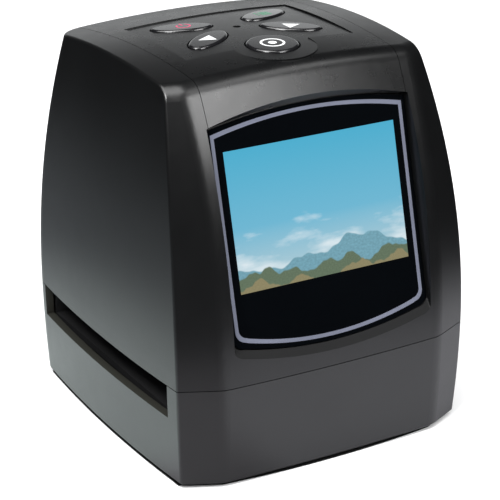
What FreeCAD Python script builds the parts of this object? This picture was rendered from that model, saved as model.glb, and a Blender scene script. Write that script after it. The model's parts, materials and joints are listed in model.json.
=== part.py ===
import FreeCAD, Part
import math
import operator
import os

import Sketcher

# Film negative scanner, in millimetres: X to the viewer's right, the front faces -Y, Z up.
# The origin lies on the table, under the middle of the overall box.
# A film holder goes in at one side and out at the other, between the bed and the camera chassis.

doc = FreeCAD.newDocument("film_scanner")

SIZES = {
    # Overall
    "width": 88.5,
    "depth": 90.8,
    "height": 103.0,
    "foot_stand": 0.8,
    "wall": 2.2,
    "floor_thickness": 2.0,
    "base_bevel": 0.7,
    "overrun": 2.0,
    # Front wall: waist height, its lean at the roof, its arc below, and its bow at the sides in plan
    "front_waist": 27.0,
    "front_lean": 20.36,
    "front_lower_radius": 280.0,
    "front_bow": 1.962,
    "band_inset": 12.55,
    "band_angle": 25.5,
    "band_round": 8.0,
    "roll_round": 6.0,
    # Side walls
    "side_waist": 32.0,
    "side_lean": 7.776,
    "side_lower_radius": 410.0,
    "side_bow": 2.296,
    "side_peak": 2.1,
    # Back wall
    "back_waist": 32.0,
    "back_lean": 8.104,
    "back_lower_radius": 1500.0,
    "corner_round": 8.0,
    # Roof: how far it falls to the back and to the sides
    "roof_fall": 4.735,
    "roof_peak": 0.1,
    "roof_cross_fall": 2.808,
    "rim_round": 1.0,
    # Parting line and its lip
    "parting": 27.4,
    "parting_gap": 0.2,
    "lip_inset": 1.2,
    "lip_height": 1.2,
    "lip_clearance": 0.15,
    # Film slot
    "slot_front_inset": 10.7,
    "slot_back_inset": 8.3,
    "slot_height": 8.8,
    # Screen window: its plane, its outline and the flare of the recess above it
    "screen_height": 66.9,
    "screen_setback": 10.1,
    "screen_tilt": 14.5,
    "window_half": 28.4,
    "window_top_side": 23.2,
    "window_top_mid": 26.0,
    "window_low_side": 30.3,
    "window_low_mid": 34.0,
    "window_corner": 3.0,
    "window_thickness": 1.2,
    "window_clearance": 0.3,
    "seat_thickness": 1.4,
    "seat_margin": 3.1,
    "recess_reach": 6.0,
    # Screen
    "field_width": 50.2,
    "field_height": 37.2,
    "lcd_width": 58.0,
    "lcd_height": 44.0,
    "lcd_thickness": 2.4,
    "lcd_gap": 0.15,
    "bracket_width": 67.0,
    "bracket_height": 46.0,
    "bracket_thickness": 0.8,
    "bracket_gap": 0.1,
    "bracket_rim": 8.0,
    "bracket_hole_across": 31.6,
    "bracket_hole_up": 19.0,
    "bracket_boss_radius": 2.2,
    # Top panel
    "panel_thickness": 1.6,
    "panel_clearance": 0.15,
    "panel_front_half": 28.05,
    "panel_back_half": 30.2,
    "panel_low": 88.5,
    "ledge_thickness": 1.2,
    "ledge_overlap": 3.0,
    # Keypad: a gently bowed field, sunk at the back and proud round the scan key
    "pad_sink": 0.39,
    "pad_radius": 320.0,
    "pad_half": 24.2,
    "pad_behind": 16.6,
    "pad_before": 17.6,
    "pad_peak_drop": 8.94,
    "bulge_radius": 10.8,
    "bulge_drop": 19.0,
    "light_offset": 5.5,
    # Keys, placed from the status light
    "petal_across": 12.1,
    "upper_petal_rise": 7.5,
    "lower_petal_drop": 6.7,
    "upper_petal_angle": 24.0,
    "lower_petal_angle": 35.0,
    "petal_long_half": 8.3,
    "petal_short_half": 4.25,
    "scan_drop": 18.1,
    "scan_half": 7.1,
    "key_gap": 0.35,
    "key_proud": 0.45,
    "key_edge_round": 0.7,
    "key_flange": 0.9,
    "key_flange_drop": 3.0,
    "key_flange_thickness": 0.8,
    "key_nub": 0.2,
    "key_nub_radius": 1.5,
    "key_rest_gap": 0.05,
    "key_travel": 0.5,
    # Switches under the keys, status light and their board
    "switch_side": 4.6,
    "switch_height": 1.6,
    "plunger_radius": 1.1,
    "plunger_rise": 0.75,
    "plunger_depth": 0.8,
    "plunger_clearance": 0.15,
    "light_radius": 0.9,
    "light_hole_radius": 1.05,
    "light_foot_radius": 1.7,
    "light_foot_height": 1.6,
    "light_sink": 0.4,
    "board_thickness": 1.6,
    "button_board_half": 25.0,
    "button_board_behind": 17.1,
    "button_board_before": 22.9,
    "panel_boss_across": 22.4,
    "panel_boss_behind": 14.6,
    "panel_boss_before": 20.1,
    "panel_boss_radius": 1.9,
    # Screws: shank and head of the two kinds, and the holes they take
    "case_shank_radius": 1.15,
    "case_head_radius": 2.0,
    "case_head_height": 1.5,
    "case_screw_length": 32.0,
    "case_boss_radius": 3.0,
    "case_boss_rise": 11.0,
    "counterbore_depth": 2.2,
    "case_front_side_inset": 15.25,
    "case_front_inset": 6.0,
    "case_back_side_inset": 11.25,
    "case_back_inset": 3.8,
    "small_shank_radius": 0.9,
    "small_head_radius": 1.7,
    "small_head_height": 1.1,
    "small_screw_length": 5.0,
    "screw_clearance": 0.1,
    # Feet
    "foot_radius": 4.0,
    "foot_sink": 0.8,
    "foot_clearance": 0.2,
    "foot_side_inset": 13.25,
    "foot_front_inset": 15.4,
    "foot_back_inset": 12.4,
    # Film bed and gate
    "bed_side_inset": 4.45,
    "bed_step": 0.2,
    "bed_thickness": 1.8,
    "rail_thickness": 1.2,
    "rail_rise": 0.2,
    "gate_width": 38.0,
    "gate_height": 26.0,
    "bed_post_side_inset": 9.8,
    "bed_post_inset": 6.9,
    "bed_post_radius": 2.6,
    "bed_ear_across": 14.0,
    "bed_ear_radius": 2.2,
    "bed_ear_offset": 1.7,
    # Light under the film
    "light_box_width": 44.0,
    "light_box_depth": 32.0,
    "light_box_wall": 1.4,
    "diffuser_thickness": 1.2,
    "light_post_height": 2.0,
    "light_post_radius": 2.2,
    "light_post_across": 18.0,
    "light_post_along": 12.0,
    "led_length": 3.5,
    "led_width": 2.8,
    "led_height": 1.4,
    "led_across": 9.0,
    "led_along": 6.0,
    # Camera chassis and its tunnel
    "plate_side_inset": 6.25,
    "plate_thickness": 1.8,
    "tunnel_foot_half": 22.0,
    "tunnel_foot_along": 16.0,
    "tunnel_top_half": 9.5,
    "tunnel_height": 30.6,
    "tunnel_wall": 1.5,
    "tunnel_rim": 2.2,
    "tunnel_rim_thickness": 1.2,
    "flange_half": 12.0,
    "flange_thickness": 1.6,
    "flange_hole_radius": 6.6,
    # Camera
    "holder_half": 11.4,
    "holder_base_thickness": 2.0,
    "holder_block_half": 8.0,
    "holder_height": 10.4,
    "holder_cavity_half": 6.0,
    "holder_cavity_depth": 2.6,
    "holder_hole_across": 9.6,
    "barrel_radius": 6.0,
    "barrel_fit": 0.05,
    "barrel_bore": 4.4,
    "barrel_eye": 3.2,
    "barrel_length": 11.0,
    "barrel_drop": 3.6,
    "barrel_lip": 1.2,
    "lens_radius": 4.3,
    "lens_thickness": 2.0,
    "lens_curve": 11.0,
    "filter_half": 5.2,
    "filter_thickness": 0.5,
    "sensor_board_half": 12.0,
    "chip_half": 4.5,
    "chip_thickness": 1.0,
    # Main board round the tunnel, with the sockets on its back edge
    "board_post_height": 3.6,
    "board_post_radius": 2.4,
    "main_board_side_inset": 7.25,
    "main_board_strip": 8.3,
    "main_board_back_inset": 3.4,
    "main_board_notch": 7.8,
    "main_board_notch_gap": 0.4,
    "tunnel_hole_gap": 0.9,
    "board_front_post_side_inset": 5.0,
    "board_front_post_inset": 7.0,
    "board_back_post_across": 25.5,
    "board_back_post_inset": 11.0,
    "main_chip_side": 12.0,
    "main_chip_height": 1.4,
    "socket_gap": 0.3,
    "card_width": 27.0,
    "card_gap": 1.1,
    "card_height": 3.2,
    "card_slot_width": 24.4,
    "card_slot_height": 2.3,
    "card_slot_floor": 0.4,
    "usb_width": 7.7,
    "usb_depth": 9.2,
    "usb_height": 4.0,
    "usb_wall": 0.4,
    "usb_tongue": 0.8,
    "usb_across": 22.0,
    "av_width": 6.4,
    "av_depth": 10.0,
    "av_height": 5.0,
    "av_bore": 1.8,
    "av_across": 23.5,
    "socket_inset": 2.0,
    "socket_rim": 1.2,
    # Flat cables and their connectors
    "ribbon_half_thickness": 0.12,
    "ribbon_bend": 1.5,
    "lcd_ribbon_width": 18.0,
    "sensor_ribbon_width": 8.0,
    "keypad_ribbon_width": 8.0,
    "light_ribbon_width": 4.0,
    "light_ribbon_gap": 1.6,
    "keypad_ribbon_along": 12.3,
    "connector_depth": 4.0,
    "connector_height": 1.8,
    "connector_margin": 1.5,
}

# How fast each side of the window recess opens towards the viewer, per unit of height
TOP_SIDE_FLARE_SHARE = 0.25
TOP_MID_FLARE_SHARE = 1.0
LOW_FLARE_SHARE = 2.3
SIDE_FLARE_SHARE = 0.1

OPERATIONS = {
    "+": operator.add,
    "-": operator.sub,
    "*": operator.mul,
    "/": operator.truediv,
    "^": operator.pow,
}


class Measure:
    """A number from the sheet, or worked out from it, that keeps its own expression."""

    def __init__(self, value, text):
        self.value = value
        self.text = text

    def __float__(self):
        return self.value

    def __add__(self, other):
        return combine(self, "+", other)

    def __radd__(self, other):
        return combine(other, "+", self)

    def __sub__(self, other):
        return combine(self, "-", other)

    def __rsub__(self, other):
        return combine(other, "-", self)

    def __mul__(self, other):
        return combine(self, "*", other)

    def __rmul__(self, other):
        return combine(other, "*", self)

    def __truediv__(self, other):
        return combine(self, "/", other)

    def __pow__(self, other):
        return combine(self, "^", other)

    def __neg__(self):
        return Measure(-self.value, f"(-{self.text})")


def text_of(item):
    """The expression of a measure, or a plain number as text."""
    return item.text if isinstance(item, Measure) else repr(item)


def combine(first, sign, second):
    """Two measures joined by a sign, in value and in expression."""
    value = OPERATIONS[sign](float(first), float(second))
    return Measure(value, f"({text_of(first)} {sign} {text_of(second)})")


def sine(angle):
    """The sine of an angle in degrees."""
    return Measure(math.sin(math.radians(angle.value)), f"sin({angle.text})")


def cosine(angle):
    """The cosine of an angle in degrees."""
    return Measure(math.cos(math.radians(angle.value)), f"cos({angle.text})")


class Sizes:
    """The driving dimensions, kept in the document's sheet."""

    def __init__(self, table):
        sheet = doc.addObject("Spreadsheet::Sheet", "Sizes")
        for row, (name, value) in enumerate(table.items(), start=1):
            sheet.set(f"A{row}", name)
            sheet.set(f"B{row}", str(value))
            sheet.setAlias(f"B{row}", name)
        doc.recompute()
        for name in table:
            setattr(self, name, Measure(float(sheet.get(name)), f"Sizes.{name}"))


s = Sizes(SIZES)

UP = FreeCAD.Vector(0, 0, 1)
ACROSS = FreeCAD.Vector(1, 0, 0)
ALONG = FreeCAD.Vector(0, 1, 0)
ORIGIN = FreeCAD.Vector()
SIDES = (-1, 1)

# Two shapes touch where they lie closer than this
TOUCH = 0.001

# How far blanks and cutters reach past the body
reach = s.width
front = -s.depth / 2
back = s.depth / 2
floor_top = s.foot_stand + s.floor_thickness



def arc_radius(rise, lean):
    """The radius of an arc that starts upright and has leant in by so much at a rise."""
    return (rise**2 + lean**2) / (2 * lean)


band_start = s.width / 2 - s.band_inset
front_plan_radius = arc_radius(s.width / 2, s.front_bow)
side_plan_radius = arc_radius(s.depth / 2, s.side_bow)
roof_radius = arc_radius(s.depth / 2, s.roof_fall)
roof_cross_radius = arc_radius(s.width / 2, s.roof_cross_fall)
front_upper_radius = arc_radius(s.height - s.front_waist, s.front_lean)
side_upper_radius = arc_radius(s.height - s.side_waist, s.side_lean)
back_upper_radius = arc_radius(s.height - s.back_waist, s.back_lean)

# Film channel
slot_near = front + s.slot_front_inset
slot_far = back - s.slot_back_inset
slot_floor = s.parting - s.slot_height
gate_y = (slot_near + slot_far) / 2
bed_near = slot_near - s.rail_thickness
bed_far = slot_far + s.rail_thickness
bed_top = slot_floor - s.bed_step
bed_low = bed_top - s.bed_thickness
bed_half = s.width / 2 - s.bed_side_inset
rail_top = s.parting + s.rail_rise
plate_top = rail_top + s.plate_thickness

# Light under the film
light_board_low = floor_top + s.light_post_height
light_board_top = light_board_low + s.board_thickness
diffuser_low = bed_low - s.diffuser_thickness

# Camera above the film
plate_half = s.width / 2 - s.plate_side_inset
tunnel_top = plate_top + s.tunnel_height
flange_top = tunnel_top + s.flange_thickness
sensor_board_low = flange_top + s.holder_height

# Main board
main_board_low = plate_top + s.board_post_height
main_board_top = main_board_low + s.board_thickness
main_board_half = s.width / 2 - s.main_board_side_inset
board_hole_x = s.tunnel_foot_half + s.tunnel_hole_gap
board_hole_near = gate_y - s.tunnel_foot_along - s.tunnel_hole_gap
board_hole_far = gate_y + s.tunnel_foot_along + s.tunnel_hole_gap
main_board_near = board_hole_near - s.main_board_strip
main_board_far = back - s.main_board_back_inset
socket_mouth = back - s.socket_inset

# Keypad
light_y = s.light_offset
pad_crown = s.height - s.pad_sink
key_flange_top = pad_crown - s.key_flange_drop
key_flange_low = key_flange_top - s.key_flange_thickness
key_nub_low = key_flange_low - s.key_nub
plunger_top = key_nub_low - s.key_rest_gap
switch_top = plunger_top - s.plunger_rise
button_board_top = switch_top - s.switch_height
button_board_low = button_board_top - s.board_thickness

# Screen, in its own frame: X across, Y up the glass, Z out of it, zero at the glass's face
screen_y = front + s.screen_setback
lcd_front = -(s.window_thickness + s.seat_thickness + s.lcd_gap)
lcd_back = lcd_front - s.lcd_thickness
bracket_front = lcd_back - s.bracket_gap
bracket_back = bracket_front - s.bracket_thickness

# Screws, feet and posts
case_front_across = s.width / 2 - s.case_front_side_inset
case_back_across = s.width / 2 - s.case_back_side_inset
foot_across = s.width / 2 - s.foot_side_inset
CASE_SCREW_PLACES = [
    (side * across, y)
    for across, y in (
        (case_front_across, front + s.case_front_inset),
        (case_back_across, back - s.case_back_inset),
    )
    for side in SIDES
]
FOOT_PLACES = {
    "front_left_foot": (-foot_across, front + s.foot_front_inset),
    "front_right_foot": (foot_across, front + s.foot_front_inset),
    "back_left_foot": (-foot_across, back - s.foot_back_inset),
    "back_right_foot": (foot_across, back - s.foot_back_inset),
}
BED_POST_PLACES = [
    (side * (bed_half - s.bed_post_side_inset), y)
    for side in SIDES
    for y in (slot_near + s.bed_post_inset, slot_far - s.bed_post_inset)
]
BED_EAR_PLACES = [
    (side * s.bed_ear_across, y)
    for y in (bed_near - s.bed_ear_offset, bed_far + s.bed_ear_offset)
    for side in SIDES
]
LIGHT_POST_PLACES = [
    (side * s.light_post_across, gate_y + end * s.light_post_along) for side in SIDES for end in SIDES
]
MAIN_POST_PLACES = [
    (side * across, y)
    for across, y in (
        (main_board_half - s.board_front_post_side_inset, main_board_near + s.board_front_post_inset),
        (s.board_back_post_across, main_board_far - s.board_back_post_inset),
    )
    for side in SIDES
]
PANEL_BOSS_PLACES = [
    (side * s.panel_boss_across, y)
    for y in (light_y - s.panel_boss_before, light_y + s.panel_boss_behind)
    for side in SIDES
]
BRACKET_HOLE_PLACES = [
    (side * s.bracket_hole_across, end * s.bracket_hole_up) for side in SIDES for end in SIDES
]
HOLDER_HOLE_PLACES = [
    (side * s.holder_hole_across, gate_y + side * s.holder_hole_across) for side in SIDES
]

# Each key: place, long and short half of its hole, turn of its long axis
KEYS = {
    "power": (
        -s.petal_across,
        light_y + s.upper_petal_rise,
        s.petal_long_half,
        s.petal_short_half,
        -s.upper_petal_angle,
    ),
    "menu": (
        s.petal_across,
        light_y + s.upper_petal_rise,
        s.petal_long_half,
        s.petal_short_half,
        s.upper_petal_angle,
    ),
    "left": (
        -s.petal_across,
        light_y - s.lower_petal_drop,
        s.petal_long_half,
        s.petal_short_half,
        s.lower_petal_angle,
    ),
    "right": (
        s.petal_across,
        light_y - s.lower_petal_drop,
        s.petal_long_half,
        s.petal_short_half,
        -s.lower_petal_angle,
    ),
    "scan": (0, light_y - s.scan_drop, s.scan_half, s.scan_half, 0),
}

nodes = []


# Bound document objects


def point(x, y, z):
    """A vector from measures or numbers."""
    return FreeCAD.Vector(float(x), float(y), float(z))


def bind(item, **measures):
    """Bind properties of a document object to the sheet."""
    for name, measure in measures.items():
        item.setExpression(name, text_of(measure))
    return item


def place(item, x, y, z):
    """Bind where a document object stands."""
    for axis, measure in (("x", x), ("y", y), ("z", z)):
        item.setExpression(f"Placement.Base.{axis}", text_of(measure))
    return item


def box(label, length, width, height, x, y, z):
    """A bound box, with the place of its lowest corner."""
    item = doc.addObject("Part::Box", label)
    return place(bind(item, Length=length, Width=width, Height=height), x, y, z)


def middle_box(label, length, width, height, x, y, z):
    """A bound box that stands centred over a place."""
    return box(label, length, width, height, x - length / 2, y - width / 2, z)


def cylinder(label, radius, height, x, y, z):
    """A bound upright cylinder."""
    item = doc.addObject("Part::Cylinder", label)
    return place(bind(item, Radius=radius, Height=height), x, y, z)


def lying(label, radius, length, x, y, z):
    """A bound cylinder that runs towards the back."""
    item = doc.addObject("Part::Cylinder", label)
    bind(item, Radius=radius, Height=length)
    item.Placement = FreeCAD.Placement(ORIGIN, FreeCAD.Rotation(ACROSS, -90))
    return place(item, x, y, z)


def on_screen(item, across, up, out):
    """Stand a bound object in the screen's tilted frame."""
    tilt = s.screen_tilt
    item.Placement = FreeCAD.Placement(ORIGIN, FreeCAD.Rotation(ACROSS, 45))
    item.setExpression("Placement.Rotation.Angle", text_of(90 - tilt))
    y = screen_y + up * sine(tilt) - out * cosine(tilt)
    z = s.screen_height + up * cosine(tilt) + out * sine(tilt)
    return place(item, across, y, z)


def fused(label, parts):
    """Bound objects joined into one."""
    item = doc.addObject("Part::MultiFuse", label)
    item.Shapes = parts
    item.Refine = True
    return item


def grouped(label, parts):
    """Separate solids kept together in one object."""
    item = doc.addObject("Part::Compound", label)
    item.Links = parts
    return item


def cut(label, base, tools):
    """A bound object with others taken out of it."""
    item = doc.addObject("Part::Cut", label)
    item.Base = base
    item.Tool = tools[0] if len(tools) == 1 else fused(f"{label}_tools", tools)
    item.Refine = True
    return item


def keep(item, name):
    """Make an object one of the part's own pieces."""
    item.Label = name
    nodes.append(item)
    return item


def computed(name, shape):
    """A piece whose shape is worked out here from the sheet."""
    item = doc.addObject("Part::Feature", name)
    item.Shape = shape
    return keep(item, name)


# Sketched bodies


def new_body(name):
    """An empty body that becomes one piece."""
    return keep(doc.addObject("PartDesign::Body", name), name)


def new_sketch(body, role, height=0):
    """A sketch on one of a body's origin planes, raised by a bound height."""
    plane = next(item for item in body.Origin.OriginFeatures if item.Role == role)
    sketch = body.newObject("Sketcher::SketchObject", f"{body.Name}_sketch")
    sketch.AttachmentSupport = [(plane, "")]
    sketch.MapMode = "FlatFace"
    sketch.setExpression("AttachmentOffset.Base.z", text_of(height))
    return sketch


def fix(sketch, geometry, spot, x, y):
    """Bind a point of a sketch to its distances from the sketch's origin."""
    for kind, measure in (("DistanceX", x), ("DistanceY", y)):
        constraint = Sketcher.Constraint(kind, -1, 1, geometry, spot, float(measure))
        index = sketch.addConstraint(constraint)
        sketch.setExpression(f"Constraints[{index}]", text_of(measure))


def polygon(sketch, corners):
    """A closed outline with every corner bound."""
    spots = [point(x, y, 0) for x, y in corners]
    first = sketch.GeometryCount
    for start, end in zip(spots, spots[1:] + spots[:1]):
        sketch.addGeometry(Part.LineSegment(start, end))
    for index, (x, y) in enumerate(corners):
        following = (index + 1) % len(corners)
        joint = Sketcher.Constraint("Coincident", first + index, 2, first + following, 1)
        sketch.addConstraint(joint)
        fix(sketch, first + index, 1, x, y)


def rectangle(sketch, low_x, low_y, high_x, high_y):
    """A closed rectangle between two bound corners."""
    polygon(sketch, [(low_x, low_y), (high_x, low_y), (high_x, high_y), (low_x, high_y)])


def circle(sketch, x, y, radius):
    """A circle with its centre and radius bound."""
    index = sketch.addGeometry(Part.Circle(point(x, y, 0), UP, float(radius)))
    size = sketch.addConstraint(Sketcher.Constraint("Radius", index, float(radius)))
    sketch.setExpression(f"Constraints[{size}]", text_of(radius))
    fix(sketch, index, 3, x, y)


def pad(body, sketch, length):
    """Raise a sketch into a solid."""
    feature = body.newObject("PartDesign::Pad", f"{body.Name}_pad")
    feature.Profile = sketch
    sketch.Visibility = False
    return bind(feature, Length=length)


def revolution(body, sketch):
    """Turn a sketch once round its upright axis."""
    feature = body.newObject("PartDesign::Revolution", f"{body.Name}_revolution")
    feature.Profile = sketch
    feature.ReferenceAxis = (sketch, ["V_Axis"])
    feature.Angle = 360
    return feature


def board(name, low, outline, holes, window=None):
    """A circuit board: a sketched outline with its screw holes, raised to its thickness."""
    body = new_body(name)
    sketch = new_sketch(body, "XY_Plane", low)
    polygon(sketch, outline)
    if window:
        rectangle(sketch, *window)
    for x, y in holes:
        circle(sketch, x, y, s.small_shank_radius + s.screw_clearance)
    pad(body, sketch, s.board_thickness)
    return body


def square_outline(x, y, half_x, half_y):
    """The corners of a rectangle about a place."""
    shares = ((-1, -1), (1, -1), (1, 1), (-1, 1))
    return [(x + side * half_x, y + end * half_y) for side, end in shares]


def screws(name, places, seat, shank_radius, head_radius, head_height, length, downwards=True):
    """A set of equal screws, with their heads on a level seat."""
    parts = []
    for x, y in places:
        if downwards:
            head = cylinder(f"{name}_head", head_radius, head_height, x, y, seat)
            shank = cylinder(f"{name}_shank", shank_radius, length, x, y, seat - length)
        else:
            head = cylinder(f"{name}_head", head_radius, head_height, x, y, seat - head_height)
            shank = cylinder(f"{name}_shank", shank_radius, length, x, y, seat)
        parts.append(fused(f"{name}_screw", [head, shank]))
    return keep(grouped(name, parts), name)


def small_screws(name, places, seat, length, downwards=True):
    """A set of the small screws that hold boards and inner mouldings."""
    sizes = (s.small_shank_radius, s.small_head_radius, s.small_head_height)
    return screws(name, places, seat, *sizes, length, downwards)


# Solids of the moulded outer form


def block(low_x, low_y, low_z, high_x, high_y, high_z):
    """A plain box between two corners."""
    low = point(low_x, low_y, low_z)
    size = point(high_x, high_y, high_z) - low
    return Part.makeBox(size.x, size.y, size.z, low)


def layer(low, high):
    """All that lies between two heights."""
    return block(-reach, -reach, low, reach, reach, high)


def rod(x, y, low, high, radius):
    """An upright cylinder between two heights."""
    return Part.makeCylinder(float(radius), float(high - low), point(x, y, low))


def rods(places, low, high, radius):
    """Equal upright cylinders at several places."""
    return Part.makeCompound([rod(x, y, low, high, radius) for x, y in places])


def swept(item, axis, direction, half_angle):
    """Sweep an edge, wire or face to both sides about an axis."""
    item.rotate(axis, direction, -half_angle)
    return item.revolve(axis, direction, 2 * half_angle)


def wall_block(turn, distance, waist, upper_radius, lower_radius, plan_radius=None, slide=0):
    """All that lies behind one curved wall, and the skin of that wall.

    The wall is upright at its waist and leans inwards on one arc above and one below.
    """
    waist, distance = float(waist), float(distance)
    low = float(s.foot_stand - s.overrun * 4)
    high = float(s.height + s.overrun * 4)

    def spot(z):
        radius = float(upper_radius if z > waist else lower_radius)
        lean = radius - math.sqrt(radius**2 - (z - waist) ** 2)
        return FreeCAD.Vector(distance - lean, 0, z)

    line = [spot(z) for z in (low, (low + waist) / 2, waist, (waist + high) / 2, high)]
    skin = Part.Wire([Part.Arc(*line[:3]).toShape(), Part.Arc(*line[2:]).toShape()])
    far = FreeCAD.Vector(distance - 2 * s.depth.value, 0, 0)
    behind = Part.makePolygon([line[4], far + UP * high, far + UP * low, line[0]])
    results = []
    for item in (Part.Face(Part.Wire(skin.Edges + behind.Edges)), skin.copy()):
        item.translate(FreeCAD.Vector(0, float(slide), 0))
        if plan_radius:
            axis = FreeCAD.Vector(distance - float(plan_radius), float(slide), 0)
            result = swept(item, axis, UP, math.degrees(reach.value / float(plan_radius)))
        else:
            item.translate(FreeCAD.Vector(0, -reach.value, 0))
            result = item.extrude(FreeCAD.Vector(0, 2 * reach.value, 0))
        result.rotate(ORIGIN, UP, float(turn))
        results.append(result)
    return results


def dome_block(crown, peak_y, radius, inset=0):
    """All that lies under a doubly bowed surface, and the skin of that surface."""
    radius = float(radius - inset)
    peak_y, top = float(peak_y), float(crown - inset)
    span = reach.value
    drop = radius - math.sqrt(radius**2 - span**2)
    low = float(s.foot_stand - s.overrun * 4)
    bow = ((-span, drop), (0, 0), (span, drop))
    line = [FreeCAD.Vector(0, peak_y + run, top - fall) for run, fall in bow]
    skin = Part.Arc(*line).toShape()
    corners = [FreeCAD.Vector(0, line[2].y, low), FreeCAD.Vector(0, line[0].y, low)]
    under = Part.makePolygon([line[2], *corners, line[0]])
    axis = FreeCAD.Vector(0, 0, float(s.height - roof_cross_radius))
    half_angle = math.degrees(math.asin(span * 0.7 / roof_cross_radius.value))
    results = []
    for item in (Part.Face(Part.Wire([skin, *under.Edges])), skin.copy()):
        results.append(swept(item, axis, ALONG, half_angle))
    return results


def edges_between(shape, first, second):
    """The edges of a shape that lie on both of two skins."""
    found = []
    for edge in shape.Edges:
        start, end = edge.ParameterRange
        spot = Part.Vertex(edge.valueAt((start + end) / 2))
        if first.distToShape(spot)[0] < TOUCH and second.distToShape(spot)[0] < TOUCH:
            found.append(edge)
    return found


made_forms = {}


def form(inset):
    """The outer form of the whole scanner, moved inwards by a wall's thickness."""
    key = round(float(inset), 4)
    if key not in made_forms:
        made_forms[key] = make_form(inset)
    return made_forms[key]


def make_form(inset):
    """Work out the form: nose and roof first, then sides and back, then their common rim."""
    half = s.depth / 2
    angle = s.band_angle
    sag = band_start**2 / (2 * front_plan_radius)
    band_distance = band_start * sine(angle) + (half - sag) * cosine(angle)
    front_arcs = (s.front_waist, front_upper_radius - inset, s.front_lower_radius - inset)
    band_arcs = (
        s.front_waist,
        front_upper_radius / cosine(angle) - inset,
        s.front_lower_radius / cosine(angle) - inset,
    )
    nose, front_skin = wall_block(-90, half - inset, *front_arcs, front_plan_radius - inset)
    breaks = []
    for side in SIDES:
        band, band_skin = wall_block(side * angle - 90, band_distance - inset, *band_arcs)
        nose = nose.common(band)
        breaks.append(band_skin)
    edges = [edge for skin in breaks for edge in edges_between(nose, front_skin, skin)]
    nose = nose.makeFillet(float(s.band_round - inset), edges)

    roof, roof_skin = dome_block(s.height, s.roof_peak, roof_radius, inset)
    cap = nose.common(roof)
    edges = edges_between(cap, nose.Shells[0], roof_skin)
    edges = [edge for edge in edges if front.value * 2 < edge.CenterOfMass.y < 0]
    cap = cap.makeFillet(float(s.roll_round - inset), edges)

    back_arcs = (s.back_waist, back_upper_radius - inset, s.back_lower_radius - inset)
    side_arcs = (s.side_waist, side_upper_radius - inset, s.side_lower_radius - inset)
    sleeve, back_skin = wall_block(90, half - inset, *back_arcs)
    corners = []
    for side in SIDES:
        turn = 90 - side * 90
        plan = (side_plan_radius - inset, side * s.side_peak)
        flank, flank_skin = wall_block(turn, s.width / 2 - inset, *side_arcs, *plan)
        sleeve = sleeve.common(flank)
        corners.append(flank_skin)
    edges = [edge for skin in corners for edge in edges_between(sleeve, back_skin, skin)]
    sleeve = sleeve.makeFillet(float(s.corner_round - inset), edges)

    body = cap.common(sleeve)
    if float(inset) == 0:
        edges = edges_between(body, cap.Shells[0], sleeve.Shells[0])
        low = s.foot_stand.value - 2 * s.overrun.value
        edges = [edge for edge in edges if edge.BoundBox.ZMax > low]
        body = body.makeFillet(float(s.rim_round), edges)
    return body.Solids[0]


def tongue(inset):
    """The column that holds the top panel: a trapezoid in plan, above the panel's lower edge."""
    near, far = front, back
    half_near, half_far = s.panel_front_half - inset, s.panel_back_half - inset
    low = s.panel_low + inset
    corners = [(-half_near, near), (half_near, near), (half_far, far), (-half_far, far)]
    spots = [point(x, y, low) for x, y in corners]
    base = Part.Face(Part.makePolygon(spots + spots[:1]))
    return base.extrude(point(0, 0, s.height + s.overrun - low))


def screen_placement():
    """Where the screen's own frame stands."""
    turn = FreeCAD.Rotation(ACROSS, 90 - s.screen_tilt.value)
    return FreeCAD.Placement(point(0, screen_y, s.screen_height), turn)


def window_wire(out, grow):
    """The window's outline at a height over the glass, grown all round.

    It has a bowed top with sharp corners and a bowed bottom with rounded ones.
    """
    flare = max(float(out), 0)
    half = float(s.window_half + grow) + flare * SIDE_FLARE_SHARE
    top_side = float(s.window_top_side + grow) + flare * TOP_SIDE_FLARE_SHARE
    top_mid = float(s.window_top_mid + grow) + flare * TOP_MID_FLARE_SHARE
    low_side = float(s.window_low_side + grow) + flare * LOW_FLARE_SHARE
    low_mid = float(s.window_low_mid + grow) + flare * LOW_FLARE_SHARE
    round_off = s.window_corner.value
    sag = low_mid - low_side
    radius = (half**2 + sag**2) / (2 * sag)
    run = half - round_off
    bottom = radius - math.sqrt(radius**2 - run**2) - low_mid
    # The middle of a quarter round, as a share of its radius from the square corner
    corner_share = 1 - math.cos(math.radians(45))

    def spot(x, y):
        return FreeCAD.Vector(x, y, float(out))

    def corner(side):
        start = spot(side * half, round_off - low_side)
        middle = spot(side * (half - round_off * corner_share), round_off * corner_share + bottom - TOUCH)
        return start, middle, spot(side * run, bottom)

    right, left = corner(1), corner(-1)
    edges = [
        Part.Arc(spot(-half, top_side), spot(0, top_mid), spot(half, top_side)),
        Part.LineSegment(spot(half, top_side), right[0]),
        Part.Arc(*right),
        Part.Arc(right[2], spot(0, -low_mid), left[2]),
        Part.Arc(left[2], left[1], left[0]),
        Part.LineSegment(left[0], spot(-half, top_side)),
    ]
    return Part.Wire([edge.toShape() for edge in edges])


def window_prism(grow):
    """The window's own solid, from its back to its face, in the screen's frame."""
    face = Part.Face(window_wire(-s.window_thickness, grow))
    return face.extrude(point(0, 0, s.window_thickness))


def window_recess():
    """The flared recess over the window and the pocket that it lies in."""
    wires = [window_wire(out, s.window_clearance) for out in (0, s.recess_reach)]
    recess = Part.makeLoft(wires, True, True)
    recess = recess.fuse(window_prism(s.window_clearance))
    recess.Placement = screen_placement()
    return recess


def screen_block(half_across, low_up, high_up, low_out, high_out):
    """A plain box in the screen's frame."""
    item = block(-half_across, low_up, low_out, half_across, high_up, high_out)
    item.Placement = screen_placement()
    return item


def screen_rods(places, low_out, high_out, radius):
    """Cylinders that stand along the screen's own out direction."""
    items = rods(places, low_out, high_out, radius)
    items.Placement = screen_placement()
    return items


# Casing


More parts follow.
